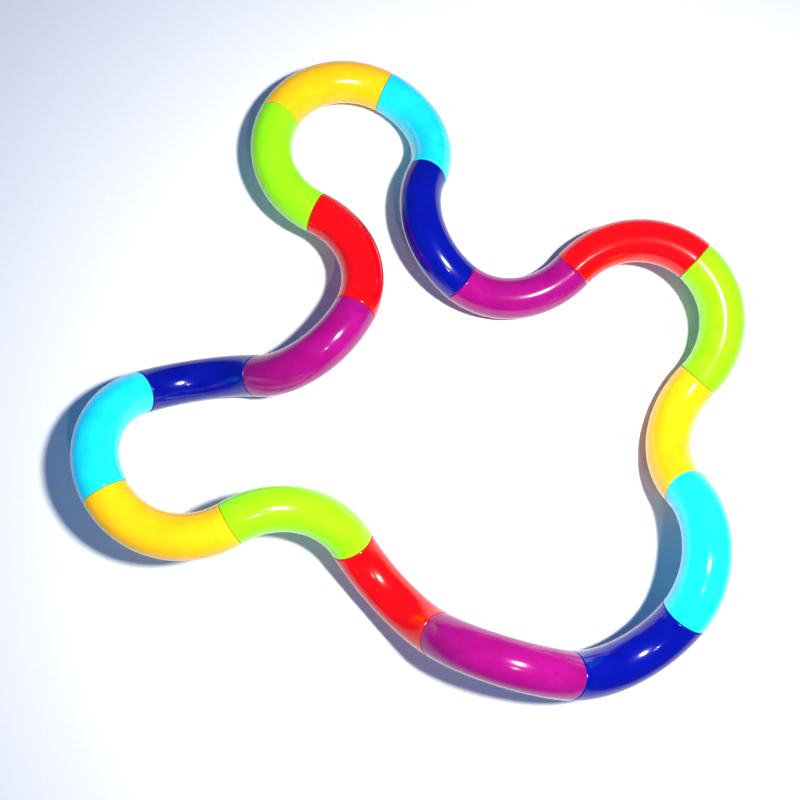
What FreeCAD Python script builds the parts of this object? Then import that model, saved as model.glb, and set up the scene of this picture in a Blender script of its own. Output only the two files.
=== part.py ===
"""Twisty snake puzzle: eighteen hollow quarter-ring links joined end to end in a closed loop.

Each link is a quarter of a ring of round tube, moulded as an upper and a lower shell that meet
in the plane of the bend. One end of a link holds the square head of a swivel pin, and the pin's
split nose snaps into the socket of the next link, so every seam turns about the tube's own
centreline.

A link's own frame has the centre of its bend at the origin and the bend in the XY plane. The
socket end is at (bend radius, 0), where the tube runs along +Y, and the pin end is at
(0, bend radius), where it runs along -X.
"""
import FreeCAD, Part
import Sketcher
import math
import os

from FreeCAD import Placement, Rotation, Vector

SIZES = {
    # the tube and its bend
    "tube_diameter": 12.0,
    "bend_inner_radius": 17.4,
    "wall": 1.3,
    "rim_round": 0.3,
    "joint_gap": 0.12,
    # the socket end: a wall with a lipped hole, and behind the lip the seat of the snap nose
    "socket_wall": 2.6,
    "socket_lip": 1.8,
    "lead_in": 0.4,
    # the pin end: a solid block with a square pocket for the pin's head
    "pin_block": 4.4,
    "face_wall": 1.3,
    # the swivel pin, from its square head to its split nose
    "head_width": 6.4,
    "head_thickness": 1.4,
    "pin_diameter": 5.0,
    "bead_rise": 0.5,
    "bead_length": 0.7,
    "nose_length": 1.5,
    "nose_taper": 0.9,
    "slot_width": 0.8,
    "slot_depth": 3.6,
    # the fits
    "running_clearance": 0.06,
    "end_play": 0.08,
    "head_clearance": 0.05,
    # the pegs that line the two shells up
    "peg_diameter": 1.1,
    "peg_length": 1.2,
    "peg_clearance": 0.05,
}

COLOURS = ("yellow", "cyan", "blue", "magenta", "red", "lime")

# How far each seam is turned, in degrees, from the seam after link 1 to the seam that closes
# the loop. At 0 the next link carries on round the same circle, and at 180 it bends back.
SEAM_TURNS = (-16, 161, 49, 154, -2, -131, -167, -94, 118, -139, -109, -149, 41, -57, -140, 43, 172, 5)

# The links that touch the table, and the heading, in degrees, of the line on the table from the
# last of them to the second.
RESTING_LINKS = (4, 7, 15)
RESTING_HEADING = -14.4

UP = Vector(0, 0, 1)

# The limits of the two searches, for the turns that close the loop and for the table's plane
TURN_STEP = 1e-5
CLOSED = 1e-10
MOST_STEPS = 20

# How far apart two lengths may be, in millimetres, and still count as the same
SAME_LENGTH = 1e-6


# Sizes that follow from the sheet's, as the expressions that features are bound to


TUBE_RADIUS = "dims.tube_diameter / 2"
BEND_RADIUS = "(dims.bend_inner_radius + dims.tube_diameter / 2)"
DEGREES_PER_LENGTH = f"180 / pi / {BEND_RADIUS}"
PIN_RADIUS = "dims.pin_diameter / 2"
HOLE_RADIUS = f"({PIN_RADIUS} + dims.running_clearance)"
BEAD_RADIUS = f"({PIN_RADIUS} + dims.bead_rise)"
SEAT_RADIUS = f"({BEAD_RADIUS} + 2 * dims.running_clearance)"
SOCKET_REACH = "1.5 * dims.socket_wall"
HEAD_ROOM = "(dims.head_width / 2 + dims.head_clearance)"
HEAD_BACK = "(dims.face_wall + dims.head_thickness + dims.head_clearance)"
PIN_HOLE_REACH = "(dims.face_wall + dims.head_thickness / 2)"
PEG_OFFSET = "(dims.tube_diameter + dims.head_width) / 4"
NOSE_START = (
    "(dims.head_thickness + dims.face_wall + dims.joint_gap + dims.socket_lip + dims.end_play)"
)
BEAD_END = f"({NOSE_START} + dims.bead_length)"
PIN_TIP = f"({BEAD_END} + dims.nose_length)"


def make_sheet(doc):
    """Write the driving dimensions into a spreadsheet, each in a cell with an alias."""
    sheet = doc.addObject("Spreadsheet::Sheet", "dims")
    for row, (name, value) in enumerate(SIZES.items(), start=1):
        sheet.set(f"A{row}", name)
        sheet.set(f"B{row}", str(value))
        sheet.setAlias(f"B{row}", name)
    doc.recompute()
    return sheet


# The pose: where each link lies


def link_step(bend_radius, gap, turn):
    """From the frame at a link's socket seam to the frame at the next link's, turned there.

    A seam's frame has X pointing away from the centre of the bend and Y along the tube.
    """
    along_bend = Placement(Vector(-bend_radius, bend_radius, 0), Rotation(UP, 90))
    across_seam = Placement(Vector(0, gap, 0), Rotation(Vector(0, 1, 0), turn))
    return along_bend * across_seam


def seam_frames(bend_radius, gap, turns):
    """The frame at each link's socket seam, and last the one that the loop has to close on."""
    frames = [Placement()]
    for turn in turns:
        frames.append(frames[-1] * link_step(bend_radius, gap, turn))
    return frames


def loop_error(bend_radius, gap, turns):
    """The six amounts by which the loop misses closing: place, in bend radii, and turn."""
    miss = seam_frames(bend_radius, gap, turns)[-1]
    place = miss.Base / bend_radius
    twist = miss.Rotation.Axis * miss.Rotation.Angle
    return [place.x, place.y, place.z, twist.x, twist.y, twist.z]


def solve(matrix, right_side):
    """Solve a small square set of linear equations by elimination."""
    rows = [list(row) + [value] for row, value in zip(matrix, right_side)]
    count = len(rows)
    for i in range(count):
        pivot = max(range(i, count), key=lambda k: abs(rows[k][i]))
        rows[i], rows[pivot] = rows[pivot], rows[i]
        for k in range(count):
            if k != i:
                factor = rows[k][i] / rows[i][i]
                rows[k] = [a - factor * b for a, b in zip(rows[k], rows[i])]
    return [rows[i][count] / rows[i][i] for i in range(count)]


def closed_turns(bend_radius, gap):
    """SEAM_TURNS with the smallest changes that close the loop exactly."""
    turns = list(SEAM_TURNS)
    for _ in range(MOST_STEPS):
        error = loop_error(bend_radius, gap, turns)
        if max(abs(e) for e in error) < CLOSED:
            return turns
        columns = []
        for seam in range(len(turns)):
            nudged = list(turns)
            nudged[seam] += TURN_STEP
            moved = loop_error(bend_radius, gap, nudged)
            columns.append([(b - a) / TURN_STEP for a, b in zip(error, moved)])
        normal = [[sum(c[i] * c[j] for c in columns) for j in range(6)] for i in range(6)]
        weights = solve(normal, error)
        changes = [sum(a * w for a, w in zip(c, weights)) for c in columns]
        turns = [turn - change for turn, change in zip(turns, changes)]
    raise ValueError("the loop doesn't close")


def furthest_point(link, bend_radius, direction):
    """The point of a link's centreline that lies furthest in a direction."""
    local = link.Rotation.inverted().multVec(direction)
    angle = math.atan2(local.y, local.x)
    if not 0 <= angle <= math.pi / 2:
        angle = 0 if local.x > local.y else math.pi / 2
    return link.multVec(Vector(math.cos(angle), math.sin(angle), 0) * bend_radius)


def table_frame(links, bend_radius):
    """The placement that lays the links on the table, on the three that rest on it."""
    resting = [links[number - 1] for number in RESTING_LINKS]
    middle = Vector(1, 1, 0).normalize() * bend_radius
    contacts = [link.multVec(middle) for link in resting]
    heart = sum((link.Base for link in links), Vector()) / len(links)
    for _ in range(MOST_STEPS):
        first, second, last = contacts
        normal = (second - first).cross(last - first).normalize()
        if normal.dot(heart - first) < 0:
            normal = -normal
        contacts = [furthest_point(link, bend_radius, -normal) for link in resting]
    heading = (contacts[1] - contacts[2]).normalize()
    lie = Rotation(heading, normal.cross(heading), normal, "ZXY")
    return Placement(Vector(), Rotation(UP, RESTING_HEADING) * lie.inverted())


def link_placements(bend_radius, tube_radius, gap):
    """Every link's placement, with the loop's box centred above the origin and standing on Z 0."""
    turns = closed_turns(bend_radius, gap)
    to_bend_centre = Placement(Vector(-bend_radius, 0, 0), Rotation())
    links = [frame * to_bend_centre for frame in seam_frames(bend_radius, gap, turns)[:-1]]
    table = table_frame(links, bend_radius)
    links = [table * link for link in links]

    def reach(direction):
        return max(furthest_point(link, bend_radius, direction).dot(direction) for link in links)

    centre_x = (reach(Vector(1, 0, 0)) - reach(Vector(-1, 0, 0))) / 2
    centre_y = (reach(Vector(0, 1, 0)) - reach(Vector(0, -1, 0))) / 2
    lowest = -reach(-UP) - tube_radius
    shift = Placement(-Vector(centre_x, centre_y, lowest), Rotation())
    return [shift * link for link in links]


# Sketches


def start_sketch(body, name, role, offset=None, offset_expressions=None):
    """A sketch on one of the body's origin planes, with an offset on that plane if given."""
    sketch = body.newObject("Sketcher::SketchObject", name)
    plane = next(f for f in body.Origin.OriginFeatures if f.Role == role)
    sketch.AttachmentSupport = [(plane, "")]
    sketch.MapMode = "FlatFace"
    if offset:
        sketch.AttachmentOffset = offset
    for path, expression in (offset_expressions or {}).items():
        sketch.setExpression(f"AttachmentOffset.{path}", expression)
    return sketch


def bind(sketch, name, expression, *constraint):
    """Add a named constraint whose value follows an expression."""
    index = sketch.addConstraint(Sketcher.Constraint(*constraint))
    sketch.renameConstraint(index, name)
    sketch.setExpression(f"Constraints.{name}", expression)


def draw_half_disc(sketch, radius, side):
    """A half disc at the bend radius, above the horizontal axis for side 1, below it for -1."""
    start = 0 if side > 0 else math.pi
    sheet = sketch.Document.dims
    rough_bend, rough_radius = (sheet.evalExpression(e) for e in (BEND_RADIUS, radius))
    centre = Vector(rough_bend, 0, 0)
    across = Vector(rough_radius * side, 0, 0)
    circle = Part.Circle(centre, UP, rough_radius)
    arc = sketch.addGeometry(Part.ArcOfCircle(circle, start, start + math.pi))
    base = sketch.addGeometry(Part.LineSegment(centre - across, centre + across))
    sketch.addConstraint(Sketcher.Constraint("Coincident", arc, 2, base, 1))
    sketch.addConstraint(Sketcher.Constraint("Coincident", arc, 1, base, 2))
    for geometry, point in ((arc, 3), (base, 1), (base, 2)):
        sketch.addConstraint(Sketcher.Constraint("PointOnObject", geometry, point, -1))
    bind(sketch, "bend", BEND_RADIUS, "DistanceX", -1, 1, arc, 3, rough_bend)
    bind(sketch, "radius", radius, "Radius", arc, rough_radius)


def draw_polygon(sketch, corners):
    """A closed outline whose corners are pairs of expressions, each corner held to the origin.

    A coordinate of "0" puts its corner on the axis.
    """
    sheet = sketch.Document.dims
    rough = [Vector(*(sheet.evalExpression(e) for e in corner), 0) for corner in corners]
    count = len(corners)
    lines = [
        sketch.addGeometry(Part.LineSegment(rough[i], rough[(i + 1) % count])) for i in range(count)
    ]
    for i, line in enumerate(lines):
        following = lines[(i + 1) % count]
        sketch.addConstraint(Sketcher.Constraint("Coincident", line, 2, following, 1))
    for i, (line, corner) in enumerate(zip(lines, corners)):
        for name, axis, expression, value in zip("xy", (-2, -1), corner, rough[i]):
            if expression == "0":
                sketch.addConstraint(Sketcher.Constraint("PointOnObject", line, 1, axis))
            else:
                kind = f"Distance{name.upper()}"
                bind(sketch, f"{name}{i}", expression, kind, -1, 1, line, 1, value)


def draw_circle(sketch, name, x, y, radius):
    """A circle held to the origin by its centre."""
    sheet = sketch.Document.dims
    rough_x, rough_y, rough_radius = (sheet.evalExpression(e) for e in (x, y, radius))
    circle = sketch.addGeometry(Part.Circle(Vector(rough_x, rough_y, 0), UP, rough_radius))
    bind(sketch, f"{name}_x", x, "DistanceX", -1, 1, circle, 3, rough_x)
    bind(sketch, f"{name}_y", y, "DistanceY", -1, 1, circle, 3, rough_y)
    bind(sketch, f"{name}_radius", radius, "Radius", circle, rough_radius)


# Features


def turn_profile(body, kind, name, sketch, angle):
    """A Revolution or a Groove of a sketch about the sketch's own vertical axis."""
    feature = body.newObject(f"PartDesign::{kind}", name)
    feature.Profile = sketch
    feature.ReferenceAxis = (sketch, ["V_Axis"])
    feature.setExpression("Angle", angle)
    return feature


def push_profile(body, kind, name, sketch, length, reverse=False):
    """A Pad or a Pocket of a sketch."""
    feature = body.newObject(f"PartDesign::{kind}", name)
    feature.Profile = sketch
    feature.Reversed = reverse
    feature.setExpression("Length", length)
    return feature


def is_end_rim(edge, tube_radius):
    """Whether an edge is the rim of one of the tube's end faces."""
    curve = edge.Curve
    if not isinstance(curve, Part.Circle) or abs(curve.Radius - tube_radius) > SAME_LENGTH:
        return False
    return min(abs(curve.Center.x), abs(curve.Center.y)) < SAME_LENGTH


def hollow_sketch(body, side):
    """The half disc of the hollow, in the plane where the hollow starts behind the socket wall."""
    swung = Placement(Vector(), Rotation(Vector(0, 1, 0), 1))
    start = {"Rotation.Angle": f"dims.socket_wall * {DEGREES_PER_LENGTH}"}
    sketch = start_sketch(body, "HollowSection", "XZ_Plane", swung, start)
    draw_half_disc(sketch, f"{TUBE_RADIUS} - dims.wall", side)
    return sketch


def socket_sketch(body, name):
    """A sketch in the bend's plane whose vertical axis runs up the tube at the socket seam."""
    return start_sketch(body, name, "XY_Plane", None, {"Base.x": BEND_RADIUS})


def pin_end_sketch(body, name):
    """A sketch in the bend's plane whose vertical axis runs up the tube at the pin seam."""
    turned = Placement(Vector(), Rotation(UP, 90))
    return start_sketch(body, name, "XY_Plane", turned, {"Base.y": BEND_RADIUS})


def make_shell(doc, label, side, tube_radius):
    """Half of a link's hollow tube: the half above the bend's plane for side 1, below it for -1."""
    body = doc.addObject("PartDesign::Body", label)
    body.Label = label

    section = start_sketch(body, "TubeSection", "XZ_Plane")
    draw_half_disc(section, TUBE_RADIUS, side)
    tube = turn_profile(body, "Revolution", "Tube", section, "90")
    doc.recompute()
    rims = [
        f"Edge{i}" for i, edge in enumerate(tube.Shape.Edges, start=1) if is_end_rim(edge, tube_radius)
    ]
    rounding = body.newObject("PartDesign::Fillet", "RoundedRims")
    rounding.Base = (tube, rims)
    rounding.setExpression("Radius", "dims.rim_round")

    hollow_angle = f"90 - (dims.socket_wall + dims.pin_block) * {DEGREES_PER_LENGTH}"
    turn_profile(body, "Groove", "Hollow", hollow_sketch(body, side), hollow_angle)

    socket = socket_sketch(body, "SocketSection")
    corners = (
        ("0", "0"),
        (f"{HOLE_RADIUS} + dims.lead_in", "0"),
        (HOLE_RADIUS, "dims.lead_in"),
        (HOLE_RADIUS, "dims.socket_lip"),
        (SEAT_RADIUS, "dims.socket_lip"),
        (SEAT_RADIUS, SOCKET_REACH),
        ("0", SOCKET_REACH),
    )
    draw_polygon(socket, corners)
    turn_profile(body, "Groove", "Socket", socket, "360")

    pin_hole = pin_end_sketch(body, "PinHoleSection")
    corners = (
        ("0", "0"),
        ("0", f"0 - {PIN_HOLE_REACH}"),
        (HOLE_RADIUS, f"0 - {PIN_HOLE_REACH}"),
        (HOLE_RADIUS, "0"),
    )
    draw_polygon(pin_hole, corners)
    turn_profile(body, "Groove", "PinHole", pin_hole, "360")

    head = pin_end_sketch(body, "HeadPocketOutline")
    corners = (
        (f"0 - {HEAD_ROOM}", "0 - dims.face_wall"),
        (f"0 - {HEAD_ROOM}", f"0 - {HEAD_BACK}"),
        (HEAD_ROOM, f"0 - {HEAD_BACK}"),
        (HEAD_ROOM, "0 - dims.face_wall"),
    )
    draw_polygon(head, corners)
    push_profile(body, "Pocket", "HeadPocket", head, HEAD_ROOM, reverse=side > 0)

    ends = (
        ("Socket", socket_sketch, "dims.socket_wall / 2"),
        ("Pin", pin_end_sketch, "0 - dims.pin_block / 2"),
    )
    for end, make_sketch, along in ends:
        if side > 0:
            pegs = make_sketch(body, f"{end}PegCircles")
            radius = "dims.peg_diameter / 2"
        else:
            pegs = make_sketch(body, f"{end}PegHoleCircles")
            radius = "dims.peg_diameter / 2 + dims.peg_clearance"
        draw_circle(pegs, "left", f"0 - {PEG_OFFSET}", along, radius)
        draw_circle(pegs, "right", PEG_OFFSET, along, radius)
        if side > 0:
            push_profile(body, "Pad", f"{end}Pegs", pegs, "dims.peg_length", reverse=True)
        else:
            depth = "dims.peg_length + dims.peg_clearance"
            push_profile(body, "Pocket", f"{end}PegHoles", pegs, depth)
    return body


def make_pin(doc, label):
    """A swivel pin standing on the back of its square head, with its split nose up."""
    body = doc.addObject("PartDesign::Body", label)
    body.Label = label

    head = start_sketch(body, "HeadOutline", "XY_Plane")
    half = "dims.head_width / 2"
    corners = (
        (f"0 - {half}", f"0 - {half}"),
        (half, f"0 - {half}"),
        (half, half),
        (f"0 - {half}", half),
    )
    draw_polygon(head, corners)
    push_profile(body, "Pad", "Head", head, "dims.head_thickness")

    shaft = start_sketch(body, "ShaftSection", "XZ_Plane")
    corners = (
        ("0", "0"),
        (PIN_RADIUS, "0"),
        (PIN_RADIUS, NOSE_START),
        (BEAD_RADIUS, NOSE_START),
        (BEAD_RADIUS, BEAD_END),
        (f"{BEAD_RADIUS} - dims.nose_taper", PIN_TIP),
        ("0", PIN_TIP),
    )
    draw_polygon(shaft, corners)
    turn_profile(body, "Revolution", "Shaft", shaft, "360")

    for role in ("XZ_Plane", "YZ_Plane"):
        slot = start_sketch(body, f"SlotOutline{role[0]}", role)
        half = "dims.slot_width / 2"
        foot = f"{PIN_TIP} - dims.slot_depth"
        corners = (
            (f"0 - {half}", foot),
            (half, foot),
            (half, PIN_TIP),
            (f"0 - {half}", PIN_TIP),
        )
        draw_polygon(slot, corners)
        cut = push_profile(body, "Pocket", f"Slot{role[0]}", slot, f"4 * {BEAD_RADIUS}")
        cut.SideType = "Symmetric"
    return body


def check(doc, bodies):
    """Stop if any feature failed or any sub-part is empty or broken."""
    failed = [o.Label for o in doc.Objects if {"Invalid", "Error"} & set(o.State)]
    empty = [b.Label for b in bodies if b.Shape.isNull() or not b.Shape.isValid()]
    if failed or empty:
        raise ValueError(f"failed features {failed}, broken sub-parts {empty}")


def main():
    doc = FreeCAD.newDocument("twisty_snake_puzzle")
    sheet = make_sheet(doc)
    tube_radius = sheet.tube_diameter / 2
    bend_radius = sheet.bend_inner_radius + tube_radius
    pin_in_link = Placement(
        Vector(sheet.face_wall + sheet.head_thickness, bend_radius, 0),
        Rotation(Vector(0, 1, 0), -90),
    )

    bodies = []
    links = link_placements(bend_radius, tube_radius, sheet.joint_gap)
    for number, link in enumerate(links, start=1):
        name = f"link_{number:02d}_{COLOURS[(number - 1) % len(COLOURS)]}"
        upper = make_shell(doc, f"{name}_upper_shell", 1, tube_radius)
        lower = make_shell(doc, f"{name}_lower_shell", -1, tube_radius)
        pin = make_pin(doc, f"{name}_swivel_pin")
        upper.Placement = link
        lower.Placement = link
        pin.Placement = link * pin_in_link
        bodies += [upper, lower, pin]
    doc.recompute()
    check(doc, bodies)

    os.makedirs("parts", exist_ok=True)
    for body in bodies:
        body.Shape.exportStep(f"parts/{body.Label}.step")


if __name__ == "__main__":
    main()
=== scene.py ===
"""Looks for the twisty snake puzzle: gloss-moulded tube links lying on pale paper."""

import math

import bmesh
import bpy
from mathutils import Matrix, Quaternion, Vector

MM = 0.001

# Colours of the moulded plastics, linear: the body of the plastic, and where its pigment is thin
PLASTICS = {
    "yellow": ((0.93, 0.475, 0.001), (0.96, 0.55, 0.004)),
    "cyan": ((0.006, 0.60, 0.86), (0.012, 0.70, 0.93)),
    "blue": ((0.0006, 0.0020, 0.215), (0.0014, 0.0040, 0.265)),
    "magenta": ((0.265, 0.001, 0.135), (0.32, 0.003, 0.175)),
    "red": ((0.66, 0.0004, 0.0004), (0.74, 0.0015, 0.0012)),
    "lime": ((0.265, 0.80, 0.001), (0.32, 0.87, 0.004)),
}
NATURAL = ((0.74, 0.71, 0.62), (0.86, 0.84, 0.77))
PAPER = ((0.80, 0.80, 0.80), (0.85, 0.845, 0.84))

# The gloss plastic: noise scales in features per metre, depths in metres
CLOUD_SCALE = 160.0
POLISH_SCALE = 110.0
HAZE_SCALE = 1500.0
HAZE_SHARE = 0.4
WAVE_SCALE = 120.0
WAVE_DEPTH = 0.06 * MM
SCUFF_SCALE = 3600.0
SCUFF_DEPTH = 0.001 * MM
GLOSS_ROUGHNESS = (0.11, 0.17)
GLOSS_IOR = 1.42
COAT_WEIGHT = 0.12
COAT_ROUGHNESS = 0.05

# The pins' unpolished plastic, and the paper
MATTE_SCALE = 2500.0
MATTE_DEPTH = 0.01 * MM
MATTE_ROUGHNESS = (0.42, 0.6)
FIBRE_SCALE = 700.0
FIBRE_DEPTH = 0.04 * MM
PAPER_ROUGHNESS = 0.9
PAPER_SPECULAR = 0.2

# The stage: a round sheet of paper under a dim blue sky, with a pale surround behind it
FLOOR_RADIUS = 0.46
FLOOR_SIDES = 160
SKY = (0.048, 0.135, 0.34)
BACKDROP = (0.62, 0.70, 0.80)
BACKDROP_RADIUS = 3.0
BACKDROP_SUBDIVISIONS = 4

# The lights: place and size in metres, power in watts
KEY_PLACE = Vector((64, -52, 258)) * MM
KEY_SIZE = 18 * MM
KEY_POWER = 1.35
KEY_COLOUR = (1.0, 0.965, 0.93)
SECOND_PLACE = Vector((20, -140, 300)) * MM
SECOND_SIZE = 8 * MM
SECOND_POWER = 0.085
SECOND_COLOUR = (1.0, 0.98, 0.95)

# The camera, at the photograph's viewing angle
CAMERA_PLACE = Vector((-5.5, -53.5, 241.6)) * MM
CAMERA_AIM = Vector((-6.0, -8.4, 0)) * MM
CAMERA_ROLL = math.radians(-10.95)
CAMERA_LENS = 37.7
CAMERA_SENSOR = 36.0
CAMERA_NEAREST = 5 * MM
CAMERA_FURTHEST = 20.0

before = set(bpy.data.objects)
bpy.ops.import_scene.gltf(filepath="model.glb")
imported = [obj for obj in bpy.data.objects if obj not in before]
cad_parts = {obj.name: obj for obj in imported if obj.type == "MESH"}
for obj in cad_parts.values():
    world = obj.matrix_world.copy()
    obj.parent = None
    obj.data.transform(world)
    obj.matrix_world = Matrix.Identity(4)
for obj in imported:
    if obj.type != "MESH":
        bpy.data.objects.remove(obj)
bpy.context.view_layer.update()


# Shader nodes


def new_material(name):
    """A node material, with its tree, its shader and the object's own coordinates."""
    material = bpy.data.materials.new(name)
    material.use_nodes = True
    tree = material.node_tree
    return material, tree, tree.nodes["Principled BSDF"], tree.nodes.new("ShaderNodeTexCoord")


def noise(tree, coords, scale, detail=2.0, roughness=0.5, distortion=0.0):
    """Smooth noise from 0 to 1, fixed to the piece."""
    node = tree.nodes.new("ShaderNodeTexNoise")
    node.inputs["Scale"].default_value = scale
    node.inputs["Detail"].default_value = detail
    node.inputs["Roughness"].default_value = roughness
    node.inputs["Distortion"].default_value = distortion
    tree.links.new(coords.outputs["Object"], node.inputs["Vector"])
    return node.outputs["Fac"]


def spread(tree, value, low, high, to_low=0.0, to_high=1.0):
    """A value from low to high, spread to run from to_low to to_high."""
    node = tree.nodes.new("ShaderNodeMapRange")
    node.inputs["From Min"].default_value = low
    node.inputs["From Max"].default_value = high
    node.inputs["To Min"].default_value = to_low
    node.inputs["To Max"].default_value = to_high
    tree.links.new(value, node.inputs["Value"])
    return node.outputs["Result"]


def weighted_sum(tree, value, extra, share):
    """A value plus a share of an extra one."""
    node = tree.nodes.new("ShaderNodeMath")
    node.operation = "MULTIPLY_ADD"
    tree.links.new(extra, node.inputs[0])
    node.inputs[1].default_value = share
    tree.links.new(value, node.inputs[2])
    return node.outputs["Value"]


def blend_colours(tree, factor, pair):
    """The first colour of a pair where factor is 0, and the second where it is 1."""
    node = tree.nodes.new("ShaderNodeMix")
    node.data_type = "RGBA"
    node.inputs["A"].default_value = (*pair[0], 1.0)
    node.inputs["B"].default_value = (*pair[1], 1.0)
    tree.links.new(factor, node.inputs["Factor"])
    return node.outputs["Result"]


def bump(tree, height, distance, under=None):
    """A normal for a surface of this height, on top of the relief under it."""
    node = tree.nodes.new("ShaderNodeBump")
    node.inputs["Distance"].default_value = distance
    tree.links.new(height, node.inputs["Height"])
    if under:
        tree.links.new(under, node.inputs["Normal"])
    return node.outputs["Normal"]


# Materials


def gloss_plastic(name, pair):
    """Opaque gloss plastic: faint pigment clouding, polish that varies, sink waves and hairline scuffs."""
    material, tree, shader, coords = new_material(name)
    cloud = spread(tree, noise(tree, coords, CLOUD_SCALE, 3.0, 0.55, 0.8), 0.35, 0.75)
    tree.links.new(blend_colours(tree, cloud, pair), shader.inputs["Base Color"])

    haze = noise(tree, coords, HAZE_SCALE, 5.0, 0.65)
    polish = weighted_sum(tree, noise(tree, coords, POLISH_SCALE), haze, HAZE_SHARE)
    roughness = spread(tree, polish, 0.45, 0.95, *GLOSS_ROUGHNESS)
    tree.links.new(roughness, shader.inputs["Roughness"])

    waves = bump(tree, noise(tree, coords, WAVE_SCALE, 1.0, 0.4), WAVE_DEPTH)
    scuffs = bump(tree, noise(tree, coords, SCUFF_SCALE, 3.0, 0.6), SCUFF_DEPTH, waves)
    tree.links.new(scuffs, shader.inputs["Normal"])
    tree.links.new(waves, shader.inputs["Coat Normal"])
    shader.inputs["IOR"].default_value = GLOSS_IOR
    shader.inputs["Coat Weight"].default_value = COAT_WEIGHT
    shader.inputs["Coat Roughness"].default_value = COAT_ROUGHNESS
    return material


def natural_plastic():
    """Unpolished plastic in its natural colour, for the swivel pins."""
    material, tree, shader, coords = new_material("natural_matte")
    grain = noise(tree, coords, MATTE_SCALE, 4.0)
    tree.links.new(blend_colours(tree, grain, NATURAL), shader.inputs["Base Color"])
    tree.links.new(spread(tree, grain, 0.3, 0.7, *MATTE_ROUGHNESS), shader.inputs["Roughness"])
    tree.links.new(bump(tree, grain, MATTE_DEPTH), shader.inputs["Normal"])
    return material


def paper():
    """Matte white paper with a fine fibrous tooth."""
    material, tree, shader, coords = new_material("paper")
    fibre = noise(tree, coords, FIBRE_SCALE, 6.0, 0.6, 1.0)
    tree.links.new(blend_colours(tree, fibre, PAPER), shader.inputs["Base Color"])
    tree.links.new(bump(tree, fibre, FIBRE_DEPTH), shader.inputs["Normal"])
    shader.inputs["Roughness"].default_value = PAPER_ROUGHNESS
    shader.inputs["Specular IOR Level"].default_value = PAPER_SPECULAR
    return material


def glow(name, colour):
    """A plain surface that shows this colour, whatever light falls on it."""
    material, _, shader, _ = new_material(name)
    shader.inputs["Base Color"].default_value = (0, 0, 0, 1)
    shader.inputs["Specular IOR Level"].default_value = 0
    shader.inputs["Emission Color"].default_value = (*colour, 1.0)
    shader.inputs["Emission Strength"].default_value = 1.0
    return material


def finish_links():
    """Give each shell the gloss plastic of its link's colour, and each pin the natural plastic."""
    finishes = {colour: gloss_plastic(f"{colour}_gloss", pair) for colour, pair in PLASTICS.items()}
    natural = natural_plastic()
    for name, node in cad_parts.items():
        colour = name.split("_")[2]
        is_pin = name.endswith("swivel_pin")
        node.material_slots[0].material = natural if is_pin else finishes[colour]


# The stage, the lights and the camera


def add(name, data):
    """Put a new object that shows this data into the scene."""
    thing = bpy.data.objects.new(name, data)
    bpy.context.scene.collection.objects.link(thing)
    return thing


def floor():
    """A round sheet of the paper, on the table's plane."""
    angles = [2 * math.pi * side / FLOOR_SIDES for side in range(FLOOR_SIDES)]
    rim = [(FLOOR_RADIUS * math.cos(angle), FLOOR_RADIUS * math.sin(angle), 0) for angle in angles]
    sheet = bpy.data.meshes.new("floor")
    sheet.from_pydata(rim, [], [range(FLOOR_SIDES)])
    sheet.materials.append(paper())
    add("floor", sheet)


def backdrop():
    """A pale surround behind the floor, which is only looked at: it gives no light and no shade."""
    shell = bpy.data.meshes.new("backdrop")
    ball = bmesh.new()
    bmesh.ops.create_icosphere(ball, subdivisions=BACKDROP_SUBDIVISIONS, radius=BACKDROP_RADIUS)
    ball.to_mesh(shell)
    ball.free()
    shell.materials.append(glow("backdrop", BACKDROP))
    surround = add("backdrop", shell)
    surround.visible_diffuse = False
    surround.visible_glossy = False
    surround.visible_transmission = False
    surround.visible_shadow = False


def sky():
    """Fill the shadows with a dim light of one colour from all round."""
    world = bpy.data.worlds.new("studio")
    world.use_nodes = True
    world.node_tree.nodes["Background"].inputs["Color"].default_value = (*SKY, 1.0)
    bpy.context.scene.world = world


def area_light(name, place, size, power, colour):
    """A round light over the table, facing the middle of the loop and not seen itself."""
    data = bpy.data.lights.new(name, "AREA")
    data.shape = "DISK"
    data.size = size
    data.energy = power
    data.color = colour
    lamp = add(name, data)
    lamp.location = place
    lamp.rotation_mode = "QUATERNION"
    lamp.rotation_quaternion = (-place).to_track_quat("-Z", "Y")
    lamp.visible_camera = False


def camera():
    """Look at the loop as the photograph does, rolled about the line of sight."""
    lens = bpy.data.cameras.new("camera")
    lens.sensor_width = CAMERA_SENSOR
    lens.lens = CAMERA_LENS
    lens.clip_start = CAMERA_NEAREST
    lens.clip_end = CAMERA_FURTHEST
    eye = add("camera", lens)
    upright = (CAMERA_AIM - CAMERA_PLACE).to_track_quat("-Z", "Y")
    eye.location = CAMERA_PLACE
    eye.rotation_mode = "QUATERNION"
    eye.rotation_quaternion = upright @ Quaternion((0, 0, 1), CAMERA_ROLL)
    bpy.context.scene.camera = eye


finish_links()
floor()
backdrop()
sky()
area_light("key", KEY_PLACE, KEY_SIZE, KEY_POWER, KEY_COLOUR)
area_light("second", SECOND_PLACE, SECOND_SIZE, SECOND_POWER, SECOND_COLOUR)
camera()
bpy.context.scene.view_settings.view_transform = "Standard"
